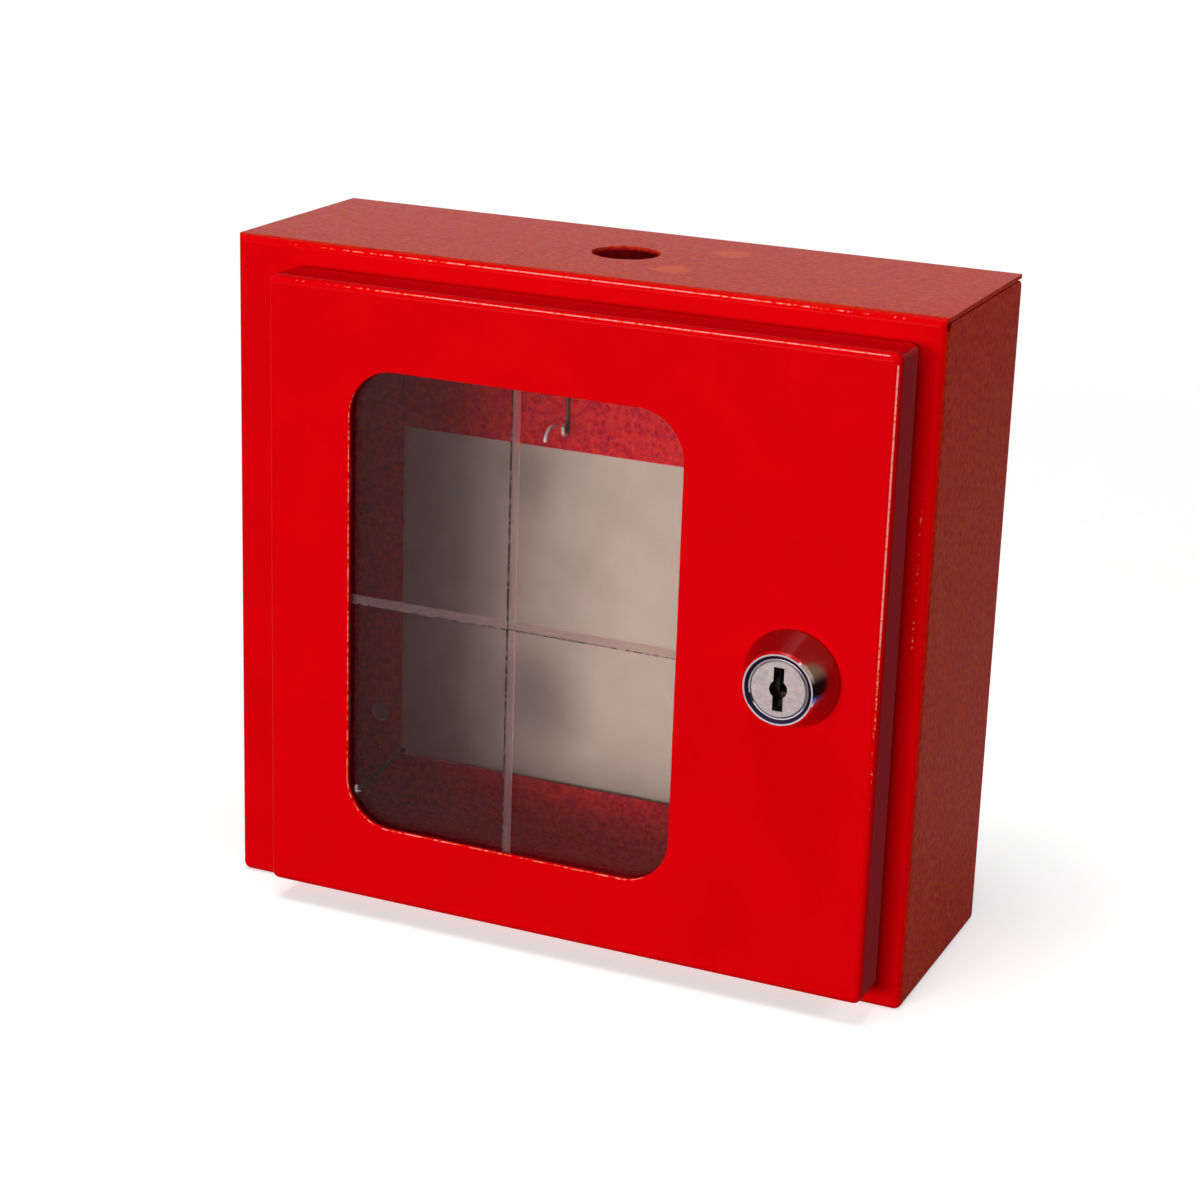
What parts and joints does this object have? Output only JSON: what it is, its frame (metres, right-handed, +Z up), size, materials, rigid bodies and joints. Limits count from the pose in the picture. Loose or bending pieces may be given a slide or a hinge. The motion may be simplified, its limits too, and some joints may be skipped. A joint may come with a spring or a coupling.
{
  "type": "break glass valve box",
  "caption": "Red steel wall box with an open back for a pipe and its stop valve; hinged pan door with a scored break-out pane and a cam lock.",
  "frame": {"origin": "centre of the four wall holes, on the plane of the wall that the box's back lies on", "axes": "+X to the right seen from the front, +Y out of the back into the wall (the front is -Y), +Z up"},
  "size_m": [0.215, 0.099, 0.2],
  "materials": {
    "red_paint": "gloss powder coat",
    "clear_pane": "clear, scored",
    "gasket_rubber": "matt",
    "zinc_steel": "zinc plated",
    "chrome": "polished",
    "nickel": "satin nickel"
  },
  "bodies": {
    "cabinet": {"cabinet_wrap": "red_paint", "top_panel": "red_paint", "key_hook": "zinc_steel", "hook_rivet": "zinc_steel", "hinge_arm_upper": "red_paint", "hinge_arm_lower": "red_paint"},
    "door": {"door_panel": "red_paint", "hinge_leaf_upper": "red_paint", "hinge_leaf_lower": "red_paint", "hinge_pin_upper": "zinc_steel", "hinge_pin_lower": "zinc_steel", "pane": "clear_pane", "pane_gasket": "gasket_rubber", "pane_studs": "zinc_steel", "pane_nuts": "zinc_steel", "lock_housing": "chrome", "lock_washer": "zinc_steel", "lock_nut": "zinc_steel", "pane_clip_upper_left": "zinc_steel", "pane_clip_upper_right": "zinc_steel", "pane_clip_lower_left": "zinc_steel", "pane_clip_lower_right": "zinc_steel"},
    "lock_plug": {"lock_plug": "nickel", "stop_washer": "zinc_steel", "lock_cam": "zinc_steel", "cam_washer": "zinc_steel", "cam_screw": "zinc_steel"}
  },
  "joints": [
    {"name": "door_hinge", "type": "hinge", "parent": "cabinet", "child": "door", "pos_m": [-0.0832, -0.083, 0], "axis": [0, 0, -1], "range_deg": [0, 110]},
    {"name": "lock_turn", "type": "hinge", "parent": "door", "child": "lock_plug", "pos_m": [0.0755, -0.083, 0], "axis": [0, -1, 0], "range_deg": [0, 90]}
  ]
}
